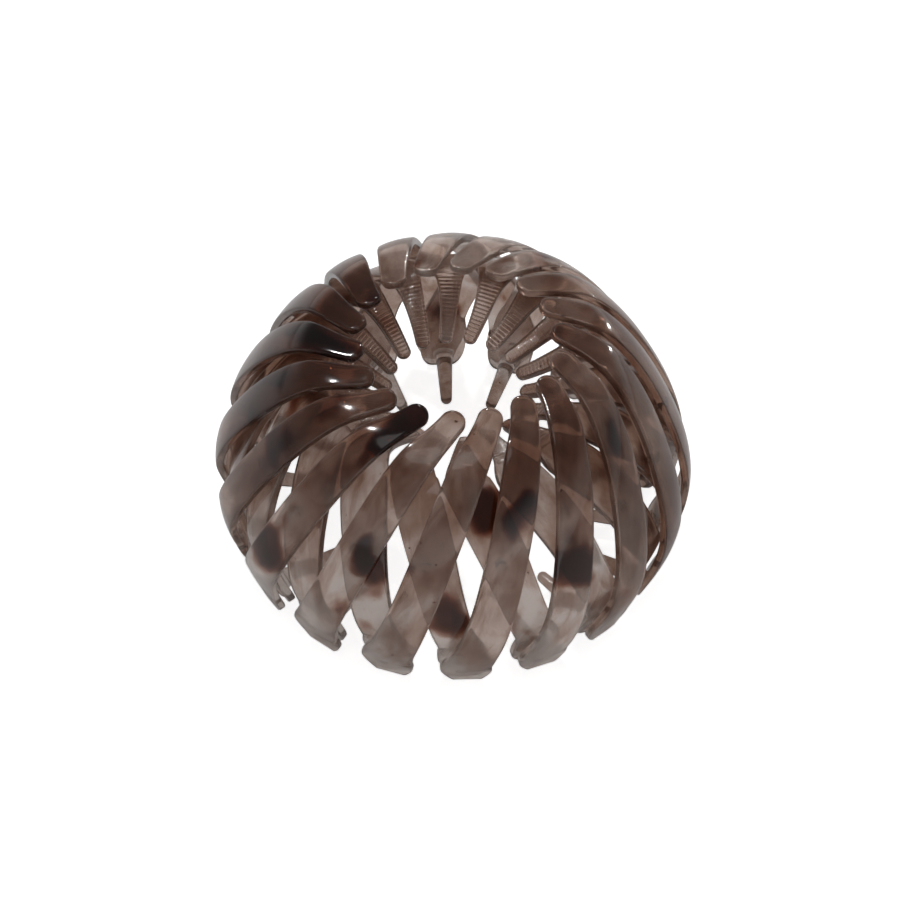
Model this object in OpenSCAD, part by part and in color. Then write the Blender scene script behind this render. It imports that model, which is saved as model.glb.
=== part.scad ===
// Expanding hair bun clip: a ring of crossing blades, all in translucent smoky brown plastic.
// Each pair has a smooth outer blade and a comb-tipped inner blade that share one foot.
// The outer blades lean one way and the inner blades lean the other, so they cross as scissors do.
// Every foot has a level pivot, and so has the first crossing above it.
// The axis of the ring is Z, the feet stand on z = 0, and the front of the ring faces -Y.
// Azimuths are measured from the front and grow anticlockwise, seen from above.

/* [Ring] */
// Number of blade pairs round the ring
pairs = 18; // [16:2:18]
// Azimuth of the foot of the first pair
first_foot = 4; // [0:0.5:19.5]
// Colour of the outer blades
outer_colour = "#6f5d57"; // [#6f5d57, #4a3a36, #8b7a73]
// Colour of the inner blades
inner_colour = "#86736b"; // [#86736b, #5c4b46, #9d8c84]

/* [Outer blade] */
// Sideways travel of the outer blade from its foot to its tip
outer_lean = 11.0; // [9:0.1:12.5]
// Share of that travel that is gained early, near the foot
outer_bow = 1.2; // [0:0.05:1.3]
// Thickness of the outer blade
outer_wall = 1.8; // [1.5:0.1:2.2]

/* [Inner blade] */
// Sideways travel of the inner blade from its foot to its tip
inner_lean = 9.9; // [8:0.1:10.5]
// How far sideways a finger turns back towards its own foot, in mm
finger_return = 7.4; // [5:0.1:7.6]
// Share of that travel that is gained early, near the foot
inner_bow = 0.9; // [0:0.05:1.1]
// Thickness of the inner blade
inner_wall = 1.6; // [1.3:0.1:2]
// Running gap between an outer blade's inner face and the inner blade behind it
blade_gap = 0.8; // [0.4:0.05:1]

/* [Prong] */
// Length of the level prong that points inwards from each inner foot
prong_length = 14.4; // [10:0.1:18]
// Height of the prong above the surface that the ring stands on
prong_height = 3.8; // [3.2:0.1:5]
// Radius of the prong at its root
prong_root = 1.75; // [1.2:0.05:1.8]
// Radius of the prong at its rounded tip
prong_tip = 1.1; // [0.7:0.05:1.2]

/* [Pivots] */
// Height of the foot pivots
foot_pivot_height = 5.0; // [4:0.1:6]
// Height of the crossing pivots
crossing_pivot_height = 30.0; // [28:0.1:32]
// Radius of the pins on the inner blades
pin_radius = 1.2; // [0.9:0.05:1.4]
// Radial running clearance of a pin in its bore
pin_clearance = 0.05; // [0.03:0.01:0.08]
// Running clearance past the end of a pin
pin_end_gap = 0.15; // [0.1:0.05:0.3]
// Wall left between a bore and the outer face
wall_over_bore = 0.5; // [0.4:0.05:0.7]

/* [Hidden] */
$fn = 48;
step = 360 / pairs;
half_step = step / 2;
bore_reach = 4;
bore_radius = pin_radius + pin_clearance;

// Columns of a path: share of the length, radius from the ring's axis, height.
// An outer blade rises from its foot, bulges to the widest ring and curls in over the top.
outer_path = [
    [0.00, 40.3, 0.0],
    [0.25, 44.2, 15.7],
    [0.50, 38.1, 33.3],
    [0.75, 28.6, 46.0],
    [1.00, 17.5, 49.0]
];
// An inner blade follows the outer ones up to the shoulder, then dips into a comb finger.
follow_shares = [0.25, 0.50];
finger_path = [
    [0.78, 24.4, 41.4],
    [1.00, 11.4, 35.4]
];

// Columns of a section table: share of the length, width, thickness as a share of the wall,
// and how far the section sits off the centre line, towards growing azimuths.
// The foot is a rounded lobe round the pivot, and the tip is a rounded fingertip.
outer_sections = [
    [0.000, 3.4, 0.70, 1.2],
    [0.006, 5.4, 0.85, 1.15],
    [0.018, 7.2, 1.00, 1.0],
    [0.036, 8.4, 1.00, 0.75],
    [0.065, 8.9, 1.00, 0.5],
    [0.10, 9.3, 1.00, 0.25],
    [0.14, 9.0, 1.00, 0.05],
    [0.20, 8.2, 1.00, 0],
    [0.30, 7.8, 1.00, 0],
    [0.40, 7.6, 1.00, 0],
    [0.50, 7.4, 1.00, 0],
    [0.60, 7.2, 1.00, 0],
    [0.70, 6.8, 1.00, 0],
    [0.78, 6.3, 1.00, 0],
    [0.86, 5.4, 1.00, 0],
    [0.93, 4.7, 1.00, 0],
    [0.975, 3.7, 0.95, 0],
    [1.000, 2.0, 0.70, 0]
];
inner_sections = [
    [0.000, 3.6, 0.70, 0.6],
    [0.007, 5.6, 0.85, 0.55],
    [0.022, 7.4, 1.00, 0.5],
    [0.045, 8.5, 1.00, 0.35],
    [0.085, 8.9, 1.00, 0.2],
    [0.125, 8.8, 1.00, 0.05],
    [0.17, 8.1, 1.00, 0],
    [0.22, 7.7, 1.00, 0],
    [0.32, 7.8, 1.00, 0],
    [0.42, 8.1, 1.00, 0],
    [0.52, 8.6, 1.00, 0],
    [0.62, 8.9, 1.00, 0],
    [0.70, 8.4, 1.00, 0],
    [0.74, 7.7, 1.00, 0],
    [0.78, 6.4, 1.00, 0],
    [0.82, 5.0, 1.05, 0],
    [0.88, 3.7, 1.10, 0],
    [0.94, 2.9, 1.10, 0],
    [0.985, 2.3, 1.00, 0],
    [1.000, 1.5, 0.75, 0]
];
// Shares of the length at which the blades start to lean
outer_lean_start = 0.10;
inner_lean_start = 0.17;
// Share of the length at which a finger starts to turn back
finger_start = 0.72;
// A section's bevels as shares of its half width and of its thickness
bevel_share = 0.30;
edge_share = 0.30;
// Half the stretch over which a path's direction is measured
direction_reach = 0.004;

// The row of a table that starts the stretch holding share s
function row_below(table, s, i = 0) =
    i >= len(table) - 2 || table[i + 1][0] > s ? i : row_below(table, s, i + 1);

// The slope of a table's column at row i
function slope(table, column, i) =
    let (a = max(i - 1, 0), b = min(i + 1, len(table) - 1))
    (table[b][column] - table[a][column]) / (table[b][0] - table[a][0]);

// A smooth curve through a table's column, at share s
function along(table, column, s) =
    let (
        i = row_below(table, s),
        span = table[i + 1][0] - table[i][0],
        t = (s - table[i][0]) / span
    )
    table[i][column] * (2 * t * t * t - 3 * t * t + 1)
    + slope(table, column, i) * span * (t * t * t - 2 * t * t + t)
    + table[i + 1][column] * (3 * t * t - 2 * t * t * t)
    + slope(table, column, i + 1) * span * (t * t * t - t * t);

// The share of the length at which a path rises to height z
function share_at_height(path, z, low = 0, high = 0.6, tries = 24) =
    let (middle = (low + high) / 2)
    tries == 0 ? middle
    : along(path, 2, middle) < z ? share_at_height(path, z, middle, high, tries - 1)
    : share_at_height(path, z, low, middle, tries - 1);

function unit(v) = v / norm(v);

// The direction of a path at share s, as [change of radius, change of height]
function heading(path, s) =
    let (a = max(0, s - direction_reach), b = min(1, s + direction_reach))
    unit([along(path, 1, b) - along(path, 1, a), along(path, 2, b) - along(path, 2, a)]);

// A row of a new path, set in from an old one by depth
function set_in(path, s, depth) =
    let (h = heading(path, s))
    [s, along(path, 1, s) - depth * h[1], along(path, 2, s) + depth * h[0]];

// Height of the lower end of an inner blade, clear of the floor while the ring opens
foot_lift = 0.5;
// Distance between the outer faces of an outer blade and of the inner blade behind it
inset = outer_wall + blade_gap;
inner_path = concat(
    [[0, outer_path[0][1] - inset, foot_lift]],
    [for (s = follow_shares) set_in(outer_path, s, inset)],
    finger_path);

// Sideways travel at share s: none up to the start of the lean, and the whole lean by the tip,
// less what the finger turns back
function sideways(lean, bow, start, back, s) =
    let (
        u = max(0, (s - start) / (1 - start)),
        v = max(0, (s - finger_start) / (1 - finger_start))
    )
    lean * u * (1 + bow * (1 - u)) + back * pow(v, 1.3);

// A point on the outer face's centre line, with the foot's outward direction along +X
function face_point(path, lean, bow, start, back, s) =
    let (
        radius = along(path, 1, s),
        side = sideways(lean, bow, start, back, s),
        turn = asin(side / radius)
    )
    [radius * cos(turn), side, along(path, 2, s)];

// One bevelled section of a blade, square to its centre line
function section(path, lean, bow, start, back, wall, row) =
    let (
        s = row[0],
        here = face_point(path, lean, bow, start, back, s),
        ahead = face_point(path, lean, bow, start, back, min(1, s + direction_reach)),
        behind = face_point(path, lean, bow, start, back, max(0, s - direction_reach)),
        tangent = unit(ahead - behind),
        h = heading(path, s),
        turn = atan2(here[1], here[0]),
        outward = [h[1] * cos(turn), h[1] * sin(turn), -h[0]],
        across = unit(cross(outward, tangent)),
        half = row[1] / 2,
        thick = wall * row[2],
        middle = here - outward * wall / 2,
        edge = thick * edge_share,
        face = half * (1 - bevel_share)
    )
    [for (p = [
        [half, edge], [face, thick / 2], [-face, thick / 2], [-half, edge],
        [-half, -edge], [-face, -thick / 2], [face, -thick / 2], [half, -edge]
    ]) middle + across * (p[0] - row[3]) + outward * p[1]];

// A closed solid through equal rings of points
module skin(rings) {
    sides = len(rings[0]);
    last = len(rings) - 1;
    points = [for (ring = rings) each ring];
    walls = [for (i = [0:last - 1], j = [0:sides - 1])
        let (a = i * sides + j, b = i * sides + (j + 1) % sides)
        each [[a, a + sides, b], [b, a + sides, b + sides]]];
    first_cap = [for (j = [0:sides - 1]) j];
    last_cap = [for (j = [0:sides - 1]) last * sides + sides - 1 - j];
    polyhedron(points, concat(walls, [first_cap, last_cap]), convexity = 6);
}

// A level cylinder whose axis crosses the ring's axis, between two distances from it
module level_cylinder(turn, height, from, to, radius) {
    rotate([0, 0, turn])
        translate([from, 0, height])
            rotate([0, 90, 0])
                cylinder(h = to - from, r = radius);
}

// The radius of a blade's outer face at height z
function face_radius(path, z) = along(path, 1, share_at_height(path, z));

// The least radius of the outer face over a level bore at height z, less the wall left there
function bore_end(z) =
    min(face_radius(outer_path, z - bore_radius), face_radius(outer_path, z + bore_radius))
    - wall_over_bore;

prong_start = face_radius(inner_path, foot_pivot_height) - inner_wall / 2;

// A blind bore that opens on the inner face of an outer blade
module bore(turn, height) {
    level_cylinder(turn, height, bore_end(height) - bore_reach, bore_end(height), bore_radius);
}

// A pin from the middle of an inner blade's wall into the bore in front of it
module pin(turn, height) {
    level_cylinder(turn, height, face_radius(inner_path, height) - inner_wall / 2,
        bore_end(height) - pin_end_gap, pin_radius);
}

module outer_blade(k) {
    rings = [for (row = outer_sections)
        section(outer_path, outer_lean, outer_bow, outer_lean_start, 0, outer_wall, row)];
    color(outer_colour)
        rotate([0, 0, first_foot + (k - 1) * step - 90])
            difference() {
                skin(rings);
                bore(0, foot_pivot_height);
                bore(half_step, crossing_pivot_height);
            }
}

module inner_blade(k) {
    rings = [for (row = inner_sections)
        section(inner_path, -inner_lean, inner_bow, inner_lean_start, finger_return, inner_wall,
            row)];
    color(inner_colour)
        rotate([0, 0, first_foot + (k - 1) * step - 90])
            union() {
                skin(rings);
                pin(0, foot_pivot_height);
                pin(-half_step, crossing_pivot_height);
                prong();
            }
}

// A smooth tapered prong with a round tip, level with the foot
module prong() {
    end = prong_start - prong_length + prong_tip;
    translate([prong_start, 0, prong_height])
        rotate([0, -90, 0])
            cylinder(h = prong_start - end, r1 = prong_root, r2 = prong_tip);
    translate([end, 0, prong_height])
        sphere(r = prong_tip);
}

for (k = [1:pairs]) {
    outer_blade(k);
    inner_blade(k);
}
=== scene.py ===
# Expanding hair bun clip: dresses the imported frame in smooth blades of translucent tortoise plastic.
import math
import bpy
import numpy as np
from mathutils import Matrix, Vector


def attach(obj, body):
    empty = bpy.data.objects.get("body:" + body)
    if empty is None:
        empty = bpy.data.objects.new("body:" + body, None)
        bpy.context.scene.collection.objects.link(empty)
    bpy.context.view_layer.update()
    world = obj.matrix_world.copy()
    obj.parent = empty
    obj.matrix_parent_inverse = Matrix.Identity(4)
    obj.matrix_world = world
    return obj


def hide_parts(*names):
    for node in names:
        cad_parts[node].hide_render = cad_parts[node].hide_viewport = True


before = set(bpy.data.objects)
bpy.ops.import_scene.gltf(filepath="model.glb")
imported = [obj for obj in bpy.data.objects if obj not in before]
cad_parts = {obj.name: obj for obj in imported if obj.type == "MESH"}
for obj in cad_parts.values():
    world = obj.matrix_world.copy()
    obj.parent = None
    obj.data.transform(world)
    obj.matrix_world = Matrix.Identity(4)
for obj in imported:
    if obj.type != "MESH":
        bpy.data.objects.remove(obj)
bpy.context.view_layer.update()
scene = bpy.context.scene
mm = 0.001
print("frame loaded:", len(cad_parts), "nodes")

camera = {
    "place": (0.0, -0.44573, 0.53975),
    "lookAt": (-0.00065, 0.0, 0.01792),
    "roll": 2.08,              # degrees
    "lens": 148.12,
    "sensor": 36.0,
    "clip": (0.01, 20),
}


def addCamera():
    data = bpy.data.cameras.new("camera")
    data.lens, data.sensor_width = camera["lens"], camera["sensor"]
    data.clip_start, data.clip_end = camera["clip"]
    seer = bpy.data.objects.new("camera", data)
    scene.collection.objects.link(seer)
    place = Vector(camera["place"])
    aim = (Vector(camera["lookAt"]) - place).to_track_quat("-Z", "Y").to_matrix().to_4x4()
    roll = Matrix.Rotation(math.radians(camera["roll"]), 4, "Z")
    seer.matrix_world = Matrix.Translation(place) @ aim @ roll
    scene.camera = seer


addCamera()

# Lengths in these dictionaries are in mm. Tables start with the share of the blade's length.
ring = {
    "pairs": 18,
    "firstFoot": 4.0,          # azimuth of pair 1, in degrees from the front
    "footPivotHeight": 5.0,
    "crossingPivotHeight": 30.0,
    "bladeGap": 0.8,           # between an outer blade and the inner blade behind it
    "fingerStart": 0.72,       # share of the inner blade where its finger starts to turn back
    "fingerTurn": 1.3,         # how gradually it does so
    "directionReach": 0.004,   # half the stretch over which a path's direction is measured
}
outerBlade = {
    # share, radius from the ring's axis, height
    "path": [[0, 40.3, 0], [0.25, 44.2, 15.7], [0.5, 38.1, 33.3], [0.75, 28.6, 46.0], [1, 17.5, 49.0]],
    "widths": [[0, 8.4], [0.036, 8.9], [0.065, 9.3], [0.10, 9.4], [0.14, 9.1], [0.20, 8.3],
               [0.30, 7.8], [0.40, 7.6], [0.50, 7.4], [0.60, 7.2], [0.70, 6.8], [0.78, 6.3],
               [0.86, 5.4], [0.93, 4.8], [1, 4.4]],
    # how far the foot's lobe is set off sideways
    "shifts": [[0, 1.2], [0.03, 1.15], [0.065, 1.0], [0.10, 0.75], [0.14, 0.45],
               [0.20, 0.15], [0.28, 0], [1, 0]],
    "thickness": [[0, 1], [0.5, 1], [0.9, 1], [1, 0.98]],   # as a share of the wall
    "lean": 11.0,              # sideways travel from foot to tip
    "bow": 1.2,                # share of it that is gained early
    "leanStart": 0.10,
    "fingerReturn": 0.0,
    "wall": 1.8,
    "crown": 0.42,             # how far the outer face falls away at its sides
    "cornerRadius": 0.42,
    "footReach": 5.2, "footInset": 3.0,        # the rounded bottom of the foot
    "facetHeight": 2.0, "facetSlope": 0.25,    # the flat facet low on the foot's outer face
    "ridgeDepth": 0.0,
}
innerBlade = {
    "widths": [[0, 8.7], [0.045, 8.7], [0.085, 8.9], [0.125, 8.8], [0.17, 8.1], [0.22, 7.7],
               [0.32, 7.8], [0.42, 8.1], [0.52, 8.6], [0.62, 8.9], [0.70, 8.4], [0.74, 7.7],
               [0.78, 6.4], [0.82, 5.0], [0.88, 3.7], [0.94, 2.9], [1, 2.4]],
    "shifts": [[0, 0.6], [0.045, 0.35], [0.085, 0.2], [0.125, 0.05], [0.17, 0], [1, 0]],
    "thickness": [[0, 1], [0.74, 1], [0.82, 1.05], [0.89, 1.1], [0.95, 1.1], [1, 1.0]],
    "lean": -9.9,
    "bow": 0.9,
    "leanStart": 0.17,
    "fingerReturn": 7.4,       # how far sideways the finger turns back
    "wall": 1.6,
    "crown": 0.16,
    "cornerRadius": 0.34,
    "footReach": 4.2, "footInset": 2.8,
    "facetHeight": 0.0,
    "ridgesFrom": 0.79, "ridgePitch": 0.75, "ridgeDepth": 0.15,    # across the finger
    "followShares": [0.25, 0.50],              # where it follows the outer blade's path
    "footLift": 0.5,
    "fingerPath": [[0.78, 24.4, 41.4], [1, 11.4, 35.4]],
}
prong = {"length": 14.4, "height": 3.8, "root": 1.72, "tip": 1.08,
         "flareLength": 5.0, "flareWide": 1.7, "flareTall": 0.8, "sides": 28}
pin = {"radius": 1.0, "reachPastGap": 0.02, "sides": 40}
# The rings of points that a blade is swept through
sweepRings = {
    "samples": 2001,           # points that measure a blade's length
    "capRings": 12, "capFrom": 0.10,           # over each rounded end, first angle in radians
    "footStep": 0.35, "footUpTo": 7.5,
    "bodyStep": 0.85, "bodyFrom": 7.6,
    "perRidge": 7,
    "closest": 0.01,
}
# How a blade thins at its two ends: reach along the blade, depth
bladeEnds = {"foot": (0.6, 0.45), "tip": (1.1, 0.62), "tipRoundness": 0.985}


# A smooth curve through a table's column
def along(table, column, share):
    table, share = np.asarray(table, float), np.asarray(share, float)
    x, y = table[:, 0], table[:, column]
    rows = np.arange(len(x))
    below, above = np.maximum(rows - 1, 0), np.minimum(rows + 1, len(x) - 1)
    slope = (y[above] - y[below]) / (x[above] - x[below])
    i = np.clip(np.searchsorted(x, share, side="right") - 1, 0, len(x) - 2)
    span = x[i + 1] - x[i]
    t = (share - x[i]) / span
    return (y[i] * (2 * t**3 - 3 * t**2 + 1) + slope[i] * span * (t**3 - 2 * t**2 + t)
            + y[i + 1] * (3 * t**2 - 2 * t**3) + slope[i + 1] * span * (t**3 - t**2))


# Direction of a path in its own upright plane: outward part, upward part
def heading(path, share):
    reach = ring["directionReach"]
    a, b = np.maximum(0, share - reach), np.minimum(1, share + reach)
    h = np.stack([along(path, 1, b) - along(path, 1, a), along(path, 2, b) - along(path, 2, a)], -1)
    return h / np.linalg.norm(h, axis=-1, keepdims=True)


# A row for a path that runs at a depth behind another
def setIn(path, share, depth):
    h = heading(path, np.array([share]))[0]
    return [share, float(along(path, 1, share)) - depth * h[1], float(along(path, 2, share)) + depth * h[0]]


inset = outerBlade["wall"] + ring["bladeGap"]
innerBlade["path"] = ([[0, outerBlade["path"][0][1] - inset, innerBlade["footLift"]]]
                      + [setIn(outerBlade["path"], s, inset) for s in innerBlade["followShares"]]
                      + innerBlade["fingerPath"])


def faceRadius(path, z):
    shares = np.linspace(0, 0.6, 6001)   # the part that rises
    share = float(np.interp(z, along(path, 2, shares), shares))
    return float(along(path, 1, share))


def sideways(blade, share):
    u = np.maximum(0, (share - blade["leanStart"]) / (1 - blade["leanStart"]))
    v = np.maximum(0, (share - ring["fingerStart"]) / (1 - ring["fingerStart"]))
    return blade["lean"] * u * (1 + blade["bow"] * (1 - u)) + blade["fingerReturn"] * v**ring["fingerTurn"]


def facePoint(blade, share):
    radius = along(blade["path"], 1, share)
    side = sideways(blade, share)
    turn = np.arcsin(side / radius)
    return np.stack([radius * np.cos(turn), side, along(blade["path"], 2, share)], -1)


# The middle of the wall, the direction across and the direction outward, at each share
def bladeFrame(blade, share):
    reach = ring["directionReach"]
    here = facePoint(blade, share)
    tangent = facePoint(blade, np.minimum(1, share + reach)) - facePoint(blade, np.maximum(0, share - reach))
    tangent /= np.linalg.norm(tangent, axis=-1, keepdims=True)
    h = heading(blade["path"], share)
    turn = np.arctan2(here[:, 1], here[:, 0])
    outward = np.stack([h[:, 1] * np.cos(turn), h[:, 1] * np.sin(turn), -h[:, 0]], -1)
    across = np.cross(outward, tangent)
    across /= np.linalg.norm(across, axis=-1, keepdims=True)
    return here - outward * blade["wall"] / 2, across, outward


# Points of a rounded rectangle as [corner u, corner v, unit offset u, unit offset v]
def sectionTemplate(cornerSteps=5, faceSteps=9, sideSteps=1):
    # a corner, the offset of the edge that follows it, the points on that edge
    corners = [(1, 1, 0, 1, faceSteps), (-1, 1, -1, 0, sideSteps),
               (-1, -1, 0, -1, faceSteps), (1, -1, 1, 0, sideSteps)]
    points = []
    for n, (u, v, offsetU, offsetV, steps) in enumerate(corners):
        for a in np.linspace(0, math.pi / 2, cornerSteps):
            angle = n * math.pi / 2 + a
            points.append([u, v, math.cos(angle), math.sin(angle)])
        nextU, nextV = corners[(n + 1) % 4][:2]
        for t in np.linspace(0, 1, steps + 2)[1:-1]:
            points.append([u + (nextU - u) * t, v + (nextV - v) * t, offsetU, offsetV])
    return np.array(points)


# How far an outline pulls in near an end, as a quarter of an ellipse
def quarterInset(distance, reach, depth):
    t = np.clip(1 - distance / reach, 0, 1)
    return depth * (1 - np.sqrt(1 - t**2))


# Distances of the rings along a blade, closer together at its ends and over its ridges
def ringStations(blade, total, tipRound, ridgeStart):
    capAngles = np.linspace(sweepRings["capFrom"], math.pi / 2, sweepRings["capRings"])
    reach = blade["footReach"]
    parts = [reach * (1 - np.cos(capAngles)),
             np.arange(reach + sweepRings["footStep"], sweepRings["footUpTo"], sweepRings["footStep"]),
             np.arange(sweepRings["bodyFrom"], ridgeStart, sweepRings["bodyStep"])]
    if blade["ridgeDepth"]:
        ridgeStep = blade["ridgePitch"] / sweepRings["perRidge"]
        parts.append(np.arange(ridgeStart, total - tipRound, ridgeStep))
    parts.append(total - tipRound * (1 - np.cos(capAngles[::-1])))
    stations = np.concatenate(parts)
    return stations[np.concatenate([[True], np.diff(stations) > sweepRings["closest"]])]


# The solid of one blade, with its foot's outward direction along +X
def sweep(blade):
    fine = np.linspace(0, 1, sweepRings["samples"])
    line = facePoint(blade, fine)
    lengths = np.concatenate([[0], np.cumsum(np.linalg.norm(np.diff(line, axis=0), axis=1))])
    total = lengths[-1]
    tipRound = float(along(blade["widths"], 1, 1.0)) / 2
    ridgeStart = blade["ridgesFrom"] * total if blade["ridgeDepth"] else total - tipRound
    stations = ringStations(blade, total, tipRound, ridgeStart)
    share = np.interp(stations, lengths, fine)
    middle, across, outward = bladeFrame(blade, share)
    middle = middle - across * along(blade["shifts"], 1, share)[:, None]

    # half width, half thickness and corner radius of each ring
    a = (along(blade["widths"], 1, share) / 2 - quarterInset(stations, blade["footReach"], blade["footInset"])
         - quarterInset(total - stations, tipRound, tipRound * bladeEnds["tipRoundness"]))
    b = (blade["wall"] / 2 * along(blade["thickness"], 1, share)
         - quarterInset(stations, *bladeEnds["foot"]) - quarterInset(total - stations, *bladeEnds["tip"]))
    corner = np.minimum(np.minimum(blade["cornerRadius"], 0.85 * b), 0.85 * a)
    t = sectionTemplate()
    x = t[None, :, 0] * (a - corner)[:, None] + t[None, :, 2] * corner[:, None]
    y = t[None, :, 1] * (b - corner)[:, None] + t[None, :, 3] * corner[:, None]
    up = np.clip(y / b[:, None], 0, 1)
    y = y - up * blade["crown"] * (x / a[:, None])**2 * np.minimum(1, a / 4)[:, None]
    if blade["facetHeight"]:
        plane = b - blade["facetSlope"] * (blade["facetHeight"] - stations)
        y = np.where(y > 0, np.minimum(y, np.maximum(plane, 0.15)[:, None]), y)
    if blade["ridgeDepth"]:
        phase = (stations - ridgeStart) / blade["ridgePitch"]
        ramp = np.clip((stations - ridgeStart) / 3, 0, 1) * np.clip((total - stations) / 1.2, 0, 1)
        groove = blade["ridgeDepth"] * ramp * (0.5 - 0.5 * np.cos(2 * math.pi * phase))**1.5
        y = y - up * groove[:, None] * (1 - 0.25 * (x / a[:, None])**2)

    points = middle[:, None] + across[:, None] * x[..., None] + outward[:, None] * y[..., None]
    sides, rings = t.shape[0], len(stations)
    i, j = np.meshgrid(np.arange(rings - 1), np.arange(sides), indexing="ij")
    nextJ = (j + 1) % sides
    quads = np.stack([i * sides + j, (i + 1) * sides + j, (i + 1) * sides + nextJ, i * sides + nextJ], -1)
    faces = quads.reshape(-1, 4).tolist()
    faces.append(list(range(sides)))
    faces.append([(rings - 1) * sides + sides - 1 - n for n in range(sides)])
    if np.cross(across[0], outward[0]) @ (middle[1] - middle[0]) > 0:
        faces = [face[::-1] for face in faces]
    return points.reshape(-1, 3), faces


# A solid of elliptic rings [distance, half width, half height] about the X axis, towards -X
def turned(profile, sides):
    points, faces = [], []
    for x, wide, tall in profile:
        for n in range(sides):
            angle = 2 * math.pi * n / sides
            points.append([x, wide * math.cos(angle), tall * math.sin(angle)])
    for i in range(len(profile) - 1):
        for n in range(sides):
            m = (n + 1) % sides
            faces.append([(i + 1) * sides + n, (i + 1) * sides + m, i * sides + m, i * sides + n])
    faces.append(list(range(sides)))
    faces.append([(len(profile) - 1) * sides + n for n in reversed(range(sides))])
    return np.array(points), faces


def prongShape():
    start = faceRadius(innerBlade["path"], ring["footPivotHeight"]) - innerBlade["wall"] / 2
    end = start - prong["length"] + prong["tip"]
    profile = []
    for x in np.concatenate([np.linspace(start, start - prong["flareLength"], 16),
                             np.linspace(start - prong["flareLength"] - 1, end, 8)]):
        t = (start - x) / (start - end)
        r = prong["root"] + (prong["tip"] - prong["root"]) * t
        flare = max(0, 1 - (start - x) / prong["flareLength"])**3
        profile.append([x, r + prong["flareWide"] * flare, r + prong["flareTall"] * flare])
    for angle in np.linspace(0, math.pi / 2, 9)[1:]:
        r = max(prong["tip"] * math.cos(angle), 0.05)
        profile.append([end - prong["tip"] * math.sin(angle), r, r])
    points, faces = turned(profile, prong["sides"])
    return points + [0, 0, prong["height"]], faces


# Turns points about the ring's axis, by degrees
def turnedAbout(points, degrees):
    c, s = math.cos(math.radians(degrees)), math.sin(math.radians(degrees))
    return points @ np.array([[c, s, 0], [-s, c, 0], [0, 0, 1]])


def pinShape(azimuth, height):
    start = faceRadius(innerBlade["path"], height) - innerBlade["wall"] / 2
    end = faceRadius(outerBlade["path"], height) - outerBlade["wall"] + pin["reachPastGap"]
    points, faces = turned([[x, pin["radius"], pin["radius"]] for x in (end, start)], pin["sides"])
    return turnedAbout(points + [0, 0, height], azimuth), faces


def meshObject(name, points, faces):
    mesh = bpy.data.meshes.new(name)
    mesh.from_pydata((np.asarray(points) * mm).tolist(), [], faces)
    mesh.validate()
    piece = bpy.data.objects.new(name, mesh)
    scene.collection.objects.link(piece)
    return piece


# One closed solid from overlapping ones
def joined(name, shapes):
    body = meshObject(name, *shapes[0])
    others = []
    for n, shape in enumerate(shapes[1:]):
        other = meshObject("%sPart%d" % (name, n), *shape)
        others.append(other)
        union = body.modifiers.new("union%d" % n, "BOOLEAN")
        union.operation, union.solver, union.object = "UNION", "EXACT", other
    seen = body.evaluated_get(bpy.context.evaluated_depsgraph_get())
    mesh = bpy.data.meshes.new_from_object(seen)
    for thing in others + [body]:
        bpy.data.objects.remove(thing, do_unlink=True)
    points = np.empty(len(mesh.vertices) * 3)
    mesh.vertices.foreach_get("co", points)
    faces = [list(p.vertices) for p in mesh.polygons]
    return points.reshape(-1, 3) / mm, faces


# Distance along the blade, across it and through it, for each point
def bladeSpace(blade, points):
    middle, across, outward = bladeFrame(blade, np.linspace(0, 1, 400))
    lengths = np.concatenate([[0], np.cumsum(np.linalg.norm(np.diff(middle, axis=0), axis=1))])
    nearest = np.array([np.argmin(((middle - p)**2).sum(1)) for p in points])
    away = points - middle[nearest]
    return np.stack([lengths[nearest], (away * across[nearest]).sum(1), (away * outward[nearest]).sum(1)], -1)


outerShape = sweep(outerBlade)
innerShape = joined("innerJoined", [sweep(innerBlade), prongShape(), pinShape(0, ring["footPivotHeight"]),
                                    pinShape(-180 / ring["pairs"], ring["crossingPivotHeight"])])
print("blade shapes:", len(outerShape[0]), "and", len(innerShape[0]), "points")

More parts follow.
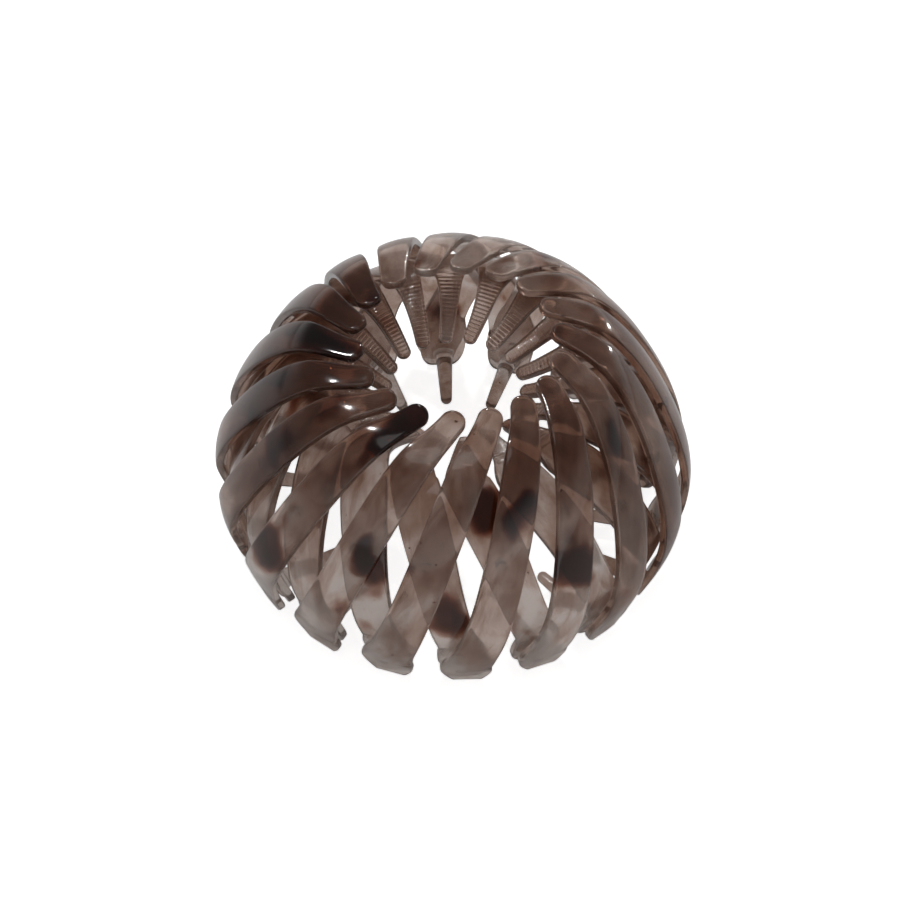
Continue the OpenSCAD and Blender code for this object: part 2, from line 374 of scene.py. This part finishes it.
# Dark blotches of dye, and broad washes that make a stretch of a blade denser or paler, partly painted light.
# Each row: blade, distance along it, distance across it, half length, half width (mm), strength. A wash below
# zero is a paler stretch.
dyeAndPaintedLight = {
    "blotches": [
        ("inner_blade_02", 41.5, -0.8, 4.6, 3.8, 1.3),
        ("outer_blade_01", 41.0, 1.0, 3.2, 2.5, 1.0),
        ("outer_blade_01", 46.0, -1.5, 3.0, 2.0, 0.7),
        ("inner_blade_01", 19.0, -0.6, 4.4, 4.2, 1.25),
        ("inner_blade_18", 27.0, -1.5, 4.4, 3.6, 1.25),
        ("outer_blade_17", 31.8, -2.4, 3.0, 2.4, 1.1),
        ("outer_blade_17", 35.0, -0.6, 2.4, 1.4, 0.8),
        ("outer_blade_02", 28.3, -0.3, 3.6, 6.0, 1.15),
        ("outer_blade_16", 22.5, 0.6, 5.2, 4.2, 1.2),
        ("outer_blade_16", 63.5, -0.5, 7.0, 5.0, 1.0),
        ("outer_blade_16", 54.0, -1.8, 5.0, 2.6, 0.8),
        ("outer_blade_18", 32.0, 3.4, 1.8, 1.5, 0.8),
        ("outer_blade_15", 43.0, -0.3, 5.5, 3.0, 0.9),
        ("outer_blade_13", 58.0, 0.0, 7.0, 3.4, 0.9),
        ("outer_blade_14", 47.0, 0.6, 5.0, 3.0, 0.9),
        ("inner_blade_10", 13.0, 0.0, 4.0, 3.0, 0.6),
        ("outer_blade_03", 45.5, 0.5, 4.0, 2.6, 0.8),
        ("outer_blade_07", 52.0, -0.5, 4.0, 2.6, 0.75),
    ],
    # Painted light: the pale washes at 8 mm on the front blades (outer 16 to 18 and 1, inner 17, 18, 1 and 2)
    # make the lit front feet paler.
    "washesAndPaintedLight": [
        ("outer_blade_01", 8, 0, 18, 9, -0.15), ("outer_blade_01", 22, 0, 12, 9, 0.45),
        ("outer_blade_01", 58, 0, 12, 9, 1.0), ("outer_blade_02", 52, 0, 15, 9, 1.4),
        ("outer_blade_03", 16, 0, 12, 9, 0.9), ("outer_blade_03", 42, 0, 14, 9, 0.9),
        ("outer_blade_04", 18, 0, 14, 9, 1.8), ("outer_blade_04", 50, 0, 26, 9, 0.8),
        ("outer_blade_05", 12, 0, 16, 9, 0.6), ("outer_blade_05", 36, 0, 30, 9, 1.0),
        ("outer_blade_06", 40, 0, 30, 9, 0.6), ("outer_blade_07", 45, 0, 25, 9, -0.4),
        ("outer_blade_08", 45, 0, 25, 9, -0.5), ("outer_blade_09", 45, 0, 25, 9, -0.5),
        # The dense washes on outer blades 11 to 15 make the left-hand side darker.
        ("outer_blade_11", 62, 0, 24, 9, 1.6), ("outer_blade_12", 58, 0, 26, 9, 2.2),
        ("outer_blade_13", 52, 0, 28, 9, 2.6), ("outer_blade_14", 46, 0, 28, 9, 2.6),
        ("outer_blade_15", 44, 0, 26, 9, 1.8), ("outer_blade_16", 8, 0, 18, 9, -0.3),
        ("outer_blade_16", 54, 0, 16, 9, 1.0), ("outer_blade_17", 8, 0, 18, 9, -0.45),
        ("outer_blade_18", 8, 0, 18, 9, -0.5), ("inner_blade_01", 8, 0, 18, 9, -0.6),
        ("inner_blade_02", 8, 0, 16, 9, -0.2), ("inner_blade_04", 20, 0, 25, 9, 0.8),
        ("inner_blade_05", 30, 0, 30, 9, 0.8), ("inner_blade_06", 30, 0, 30, 9, 0.8),
        ("inner_blade_13", 30, 0, 25, 9, 0.8), ("inner_blade_14", 30, 0, 25, 9, 0.8),
        ("inner_blade_15", 30, 0, 25, 9, 0.8), ("inner_blade_17", 8, 0, 18, 9, -0.6),
        ("inner_blade_18", 8, 0, 18, 9, -0.8),
    ],
    # painted light along every blade: paler at the foot, where light comes through from the floor and the front,
    # denser higher up: distance, added density
    "profile": {"outer": [[0, -0.6], [10, -0.5], [25, -0.1], [45, 0.2], [75, 0.25]],
                "inner": [[0, -0.5], [20, -0.4], [35, -0.1], [50, 0.1], [75, 0.1]]},
}


def painted(rows, name, space):
    value = np.zeros(len(space))
    for blade, where, across, halfLength, halfWidth, strength in rows:
        if blade == name:
            away = ((space[:, 0] - where) / halfLength)**2 + ((space[:, 1] - across) / halfWidth)**2
            value += strength * np.exp(-away)
    return value


def addNode(tree, kind, x, y, **settings):
    node = tree.nodes.new(kind)
    node.location = (x, y)
    for name, value in settings.items():
        setattr(node, name, value)
    return node


def newGroup(name, inputs, outputs):
    group = bpy.data.node_groups.new(name, "ShaderNodeTree")
    for kind, label in inputs:
        group.interface.new_socket(name=label, in_out="INPUT", socket_type=kind)
    for kind, label in outputs:
        group.interface.new_socket(name=label, in_out="OUTPUT", socket_type=kind)
    return group, addNode(group, "NodeGroupInput", -1200, 0), addNode(group, "NodeGroupOutput", 1200, 0)


def noise(tree, vector, x, y, scale, detail, roughness=0.5, distortion=0.0):
    node = addNode(tree, "ShaderNodeTexNoise", x, y)
    for label, number in (("Scale", scale), ("Detail", detail), ("Roughness", roughness),
                          ("Distortion", distortion)):
        node.inputs[label].default_value = number
    tree.links.new(vector, node.inputs["Vector"])
    return node.outputs["Fac"]


def mathNode(tree, operation, a, b, x, y, clamp=False):
    node = addNode(tree, "ShaderNodeMath", x, y, operation=operation, use_clamp=clamp)
    for socket, value in zip(node.inputs, (a, b)):
        if isinstance(value, (int, float)):
            socket.default_value = value
        else:
            tree.links.new(value, socket)
    return node.outputs[0]


def ranged(tree, value, low, high, x, y, least=0.0, most=1.0):
    node = addNode(tree, "ShaderNodeMapRange", x, y, interpolation_type="SMOOTHSTEP")
    for label, number in (("From Min", low), ("From Max", high), ("To Min", least), ("To Max", most)):
        node.inputs[label].default_value = number
    tree.links.new(value, node.inputs["Value"])
    return node.outputs["Result"]


# Noises are given as scale, detail, roughness and distortion.
dyePattern = {
    "clouds": {"noise": (60, 2.5, 0.5, 0.9), "used": (0.34, 0.70), "gives": (-0.35, 0.85)},
    "streaks": {"noise": (330, 3, 0.55, 1.2), "used": (0.40, 0.75), "gives": (-0.15, 0.60)},
    "specks": {"noise": (800, 1, 0.5, 0), "used": (0.77, 0.82), "gives": (0, 1)},
    "streakStretch": (0.35, 1.0, 1.0),         # streaks run along the blade
    "edgeNoise": (120, 2.5, 0.5, 0.3), "edgeRaggedness": 2.1,
    "blotchEdge": (0.20, 0.92),
    "palest": 0.45,                            # least density of the dye
    "fringe": (0.12, 0.40), "fringeStrength": 1.3, "fringeColour": (0.95, 0.68, 0.66, 1),
}


def patterned(tree, vector, name, x, y):
    given = dyePattern[name]
    return ranged(tree, noise(tree, vector, x, y, *given["noise"]), *given["used"], x + 250, y, *given["gives"])


# The tint is raised to the power of the dye's density, as light is lost in a dyed plastic; the wash in that
# density includes painted light on the feet.
def tortoiseDyeAndPaintedLight():
    group, given, made = newGroup("tortoiseDyeAndPaintedLight", [
        ("NodeSocketVector", "Blade Space"), ("NodeSocketFloat", "Blotch"), ("NodeSocketFloat", "Wash And Painted Light"),
        ("NodeSocketColor", "Tint"), ("NodeSocketFloat", "Cloudiness"), ("NodeSocketFloat", "Darkness")],
        [("NodeSocketColor", "Color")])
    space = given.outputs["Blade Space"]

    # clouds and streaks
    flow = addNode(group, "ShaderNodeVectorMath", -1050, 450, operation="MULTIPLY")
    flow.inputs[1].default_value = dyePattern["streakStretch"]
    group.links.new(space, flow.inputs[0])
    both = mathNode(group, "ADD", patterned(group, space, "clouds", -900, 300),
                    patterned(group, flow.outputs[0], "streaks", -900, 50), -400, 200)
    clouds = mathNode(group, "MULTIPLY", both, given.outputs["Cloudiness"], -200, 200)

    # blotches with ragged edges, and specks
    edge = noise(group, space, -900, -250, *dyePattern["edgeNoise"])
    ragged = mathNode(group, "MULTIPLY", mathNode(group, "SUBTRACT", edge, 0.5, -650, -250),
                      dyePattern["edgeRaggedness"], -400, -250)
    mask = ranged(group, mathNode(group, "ADD", given.outputs["Blotch"], ragged, -200, -250),
                  *dyePattern["blotchEdge"], 0, -250)
    specks = patterned(group, space, "specks", -900, -550)
    dark = mathNode(group, "MULTIPLY", mathNode(group, "MAXIMUM", mask, specks, 200, -350),
                    given.outputs["Darkness"], 350, -350)

    # the wash added here carries painted light: paler feet, as well as broad washes
    density = mathNode(group, "ADD", mathNode(group, "ADD", clouds, given.outputs["Wash And Painted Light"], 0, 200), 1.0, 200, 200)
    density = mathNode(group, "ADD", mathNode(group, "MAXIMUM", density, dyePattern["palest"], 350, 200),
                       dark, 500, 100)
    power = addNode(group, "ShaderNodeGamma", 700, 100)
    group.links.new(given.outputs["Tint"], power.inputs["Color"])
    group.links.new(density, power.inputs["Gamma"])

    # a reddish fringe round the blotches
    rim = ranged(group, mask, *dyePattern["fringe"], 200, -750)
    fringe = mathNode(group, "MULTIPLY", rim, mathNode(group, "SUBTRACT", 1.0, mask, 200, -600), 400, -600)
    strength = mathNode(group, "MULTIPLY", fringe, dyePattern["fringeStrength"], 600, -600, clamp=True)
    reddish = addNode(group, "ShaderNodeMix", 950, 100, data_type="RGBA", blend_type="MULTIPLY")
    reddish.inputs["B"].default_value = dyePattern["fringeColour"]
    group.links.new(strength, reddish.inputs["Factor"])
    group.links.new(power.outputs["Color"], reddish.inputs["A"])
    group.links.new(reddish.outputs["Result"], made.inputs["Color"])
    return group


surfacePattern = {"hazeNoise": (400, 3), "haze": 0.08, "waveNoise": (130, 1.5),
                  "poreNoise": (1500, 2), "pores": 0.03}


# Slight waviness and fine haze of an injection-moulded face
def mouldedSurface():
    group, given, made = newGroup("mouldedSurface", [
        ("NodeSocketVector", "Blade Space"), ("NodeSocketFloat", "Roughness"), ("NodeSocketFloat", "Waviness")],
        [("NodeSocketFloat", "Roughness"), ("NodeSocketFloat", "Height")])
    space = given.outputs["Blade Space"]
    haze = mathNode(group, "MULTIPLY", noise(group, space, -900, 300, *surfacePattern["hazeNoise"]),
                    surfacePattern["haze"], -600, 300)
    waves = mathNode(group, "MULTIPLY", noise(group, space, -900, 0, *surfacePattern["waveNoise"]),
                     given.outputs["Waviness"], -600, 0)
    pores = mathNode(group, "MULTIPLY", noise(group, space, -900, -300, *surfacePattern["poreNoise"]),
                     surfacePattern["pores"], -600, -300)
    group.links.new(mathNode(group, "ADD", given.outputs["Roughness"], haze, -300, 300), made.inputs["Roughness"])
    group.links.new(mathNode(group, "ADD", waves, pores, -300, -100), made.inputs["Height"])
    return group


dyeAndPaintedLightGroup, surfaceGroup = tortoiseDyeAndPaintedLight(), mouldedSurface()

plastic = {
    "tint": (0.57, 0.43, 0.365, 1),
    "cloudiness": 1.0,
    "darkness": 4.3,           # density that a blotch adds
    "roughness": 0.08,
    "waviness": 0.5,
    "bump": 0.28, "bumpDistance": 0.0004,
    "transmission": 0.72,
    "ior": 1.45,
    "coat": 0.2, "coatRoughness": 0.03,
}


def tortoisePlastic(name):
    material = bpy.data.materials.new(name)
    material.use_nodes = True
    tree = material.node_tree
    shader = tree.nodes["Principled BSDF"]
    space = addNode(tree, "ShaderNodeAttribute", -1200, 200, attribute_name="bladeSpace")

    colours = addNode(tree, "ShaderNodeGroup", -700, 200, node_tree=dyeAndPaintedLightGroup)
    tree.links.new(space.outputs["Vector"], colours.inputs["Blade Space"])
    # The wash attribute holds painted light (paler feet) as well as broad washes.
    for label, key, y in (("Blotch", "blotch", -100), ("Wash And Painted Light", "washAndPaintedLight", -300)):
        paint = addNode(tree, "ShaderNodeAttribute", -1200, y, attribute_name=key)
        tree.links.new(paint.outputs["Fac"], colours.inputs[label])
    for label, key in (("Tint", "tint"), ("Cloudiness", "cloudiness"), ("Darkness", "darkness")):
        colours.inputs[label].default_value = plastic[key]
    tree.links.new(colours.outputs["Color"], shader.inputs["Base Color"])

    finish = addNode(tree, "ShaderNodeGroup", -700, -200, node_tree=surfaceGroup)
    tree.links.new(space.outputs["Vector"], finish.inputs["Blade Space"])
    for label, key in (("Roughness", "roughness"), ("Waviness", "waviness")):
        finish.inputs[label].default_value = plastic[key]
    tree.links.new(finish.outputs["Roughness"], shader.inputs["Roughness"])
    bump = addNode(tree, "ShaderNodeBump", -350, -300)
    bump.inputs["Strength"].default_value = plastic["bump"]
    bump.inputs["Distance"].default_value = plastic["bumpDistance"]
    tree.links.new(finish.outputs["Height"], bump.inputs["Height"])
    tree.links.new(bump.outputs["Normal"], shader.inputs["Normal"])

    for label, key in (("Transmission Weight", "transmission"), ("IOR", "ior"), ("Coat Weight", "coat"),
                       ("Coat Roughness", "coatRoughness")):
        shader.inputs[label].default_value = plastic[key]
    return material


outerPlastic = tortoisePlastic("outerPlastic")
innerPlastic = tortoisePlastic("innerPlastic")
print("materials made")

# Each blade takes its own part of the noises, this far from the last one's, in metres.
patternStep = np.array([0.11, 0.07, 0.05])
innerPatternSteps = 30
sharpAngle = 38                # degrees, edges sharper than this stay crisp


def placeBlade(pair, kind, shape, space, material):
    name, node = "%sBlade%02d" % (kind, pair), "%s_blade_%02d" % (kind, pair)
    turn = ring["firstFoot"] + (pair - 1) * 360 / ring["pairs"] - 90
    piece = meshObject(name, turnedAbout(shape[0], turn), shape[1])
    mesh = piece.data
    mesh.shade_smooth()
    mesh.set_sharp_from_angle(angle=math.radians(sharpAngle))
    own = space * mm + patternStep * (pair + (innerPatternSteps if kind == "inner" else 0))
    mesh.attributes.new("bladeSpace", "FLOAT_VECTOR", "POINT").data.foreach_set("vector", own.ravel())
    # Painted light: the profile makes each blade paler at its foot.
    profile = np.array(dyeAndPaintedLight["profile"][kind])
    paint = {"blotch": painted(dyeAndPaintedLight["blotches"], node, space),
             "washAndPaintedLight": painted(dyeAndPaintedLight["washesAndPaintedLight"], node, space) + np.interp(space[:, 0], profile[:, 0], profile[:, 1])}
    for key, values in paint.items():
        mesh.attributes.new(key, "FLOAT", "POINT").data.foreach_set("value", values)
    mesh.materials.append(material)
    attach(piece, node)
    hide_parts(node)


for kind, blade, shape, material in (("outer", outerBlade, outerShape, outerPlastic),
                                     ("inner", innerBlade, innerShape, innerPlastic)):
    space = bladeSpace(blade, shape[0])
    for pair in range(1, ring["pairs"] + 1):
        placeBlade(pair, kind, shape, space, material)
print("blades placed")

studio = {
    "floorSize": 8,
    "floorColour": (0.80, 0.80, 0.80, 1),
    "floorRoughness": 0.9,
    "floorGlow": 0.86,         # seen by the camera
    "floorBacklight": 0.44,    # seen through the plastic
    "floorSheen": 0.10,        # seen in the plastic's reflections
    "worldZenith": 0.15,       # light from above
    "worldHorizon": 0.50,      # light from the sides, which fades out at this height:
    "horizonTop": 0.42,
    # light that is added low down on three sides, and where it starts and is full
    "worldBack": 0.40, "backSpan": (0.1, 0.95),
    "worldFront": 0.60, "frontSpan": (-0.95, -0.1),
    "worldLeft": -0.38, "leftSpan": (-0.85, -0.15),
    "worldSeen": 1.0,          # brightness of the backdrop
    # name, place, size, watts
    "lamps": [("softTop", (-0.10, -0.20, 0.95), 0.6, 0.9), ("keyLamp", (-0.32, 0.27, 0.79), 0.05, 1.4),
              ("backLamp", (0.0, 0.58, 0.69), 0.05, 1.0), ("rightLamp", (0.56, 0.67, 0.22), 0.05, 1.0)],
    "lampsAimAt": (0, 0, 0.02),
}
white = (1, 1, 1, 1)


def addFloor():
    bpy.ops.mesh.primitive_plane_add(size=studio["floorSize"])
    floor = bpy.context.object
    floor.name = "floor"
    material = bpy.data.materials.new("paleFloor")
    material.use_nodes = True
    tree = material.node_tree
    shader = tree.nodes["Principled BSDF"]
    shader.inputs["Base Color"].default_value = studio["floorColour"]
    shader.inputs["Roughness"].default_value = studio["floorRoughness"]
    shader.inputs["Specular IOR Level"].default_value = 0.0
    shader.inputs["Emission Color"].default_value = white
    path = addNode(tree, "ShaderNodeLightPath", -600, -200)
    glow = 0.0
    for n, (ray, key) in enumerate((("Is Camera Ray", "floorGlow"), ("Is Transmission Ray", "floorBacklight"),
                                    ("Is Reflection Ray", "floorSheen"))):
        part = mathNode(tree, "MULTIPLY", path.outputs[ray], studio[key], -400, -200 * n)
        glow = mathNode(tree, "ADD", part, glow, -200, -200 * n)
    tree.links.new(glow, shader.inputs["Emission Strength"])
    floor.data.materials.append(material)


def addLamps():
    for name, place, size, watts in studio["lamps"]:
        data = bpy.data.lights.new(name, "AREA")
        data.shape, data.size, data.energy = "DISK", size, watts
        lamp = bpy.data.objects.new(name, data)
        scene.collection.objects.link(lamp)
        lamp.location = place
        aim = Vector(studio["lampsAimAt"]) - Vector(place)
        lamp.rotation_euler = aim.to_track_quat("-Z", "Y").to_euler()
        lamp.visible_camera = False


def addWorld():
    world = bpy.data.worlds.new("studio")
    scene.world = world
    world.use_nodes = True
    tree = world.node_tree
    tree.nodes.clear()
    light = addNode(tree, "ShaderNodeBackground", 0, 100)
    light.inputs["Color"].default_value = white
    seen = addNode(tree, "ShaderNodeBackground", 0, -100)
    seen.inputs["Color"].default_value = white
    seen.inputs["Strength"].default_value = studio["worldSeen"]

    # brightness by direction: -Y is the front, -X the left
    direction = addNode(tree, "ShaderNodeTexCoord", -800, 100)
    parts = addNode(tree, "ShaderNodeSeparateXYZ", -600, 100)
    tree.links.new(direction.outputs["Generated"], parts.inputs[0])
    x, y, z = parts.outputs
    low = ranged(tree, z, 0.0, studio["horizonTop"], -400, 100, 1.0, 0.0)
    back = ranged(tree, y, *studio["backSpan"], -400, 300, studio["worldHorizon"],
                  studio["worldHorizon"] + studio["worldBack"])
    front = ranged(tree, y, *studio["frontSpan"], -400, 500, studio["worldFront"], 0.0)
    left = ranged(tree, x, *studio["leftSpan"], -400, 700, studio["worldLeft"], 0.0)
    around = mathNode(tree, "ADD", left, mathNode(tree, "ADD", back, front, -300, 300), -250, 400)
    lit = mathNode(tree, "MULTIPLY", low, mathNode(tree, "MAXIMUM", around, 0.0, -200, 400), -200, 200)
    tree.links.new(mathNode(tree, "ADD", lit, studio["worldZenith"], -100, 100), light.inputs["Strength"])

    path = addNode(tree, "ShaderNodeLightPath", 0, 400)
    mix = addNode(tree, "ShaderNodeMixShader", 300, 0)
    out = addNode(tree, "ShaderNodeOutputWorld", 500, 0)
    tree.links.new(path.outputs["Is Camera Ray"], mix.inputs[0])
    tree.links.new(light.outputs[0], mix.inputs[1])
    tree.links.new(seen.outputs[0], mix.inputs[2])
    tree.links.new(mix.outputs[0], out.inputs["Surface"])


addFloor()
addLamps()
addWorld()
scene.view_settings.view_transform = "Standard"
print("studio made")
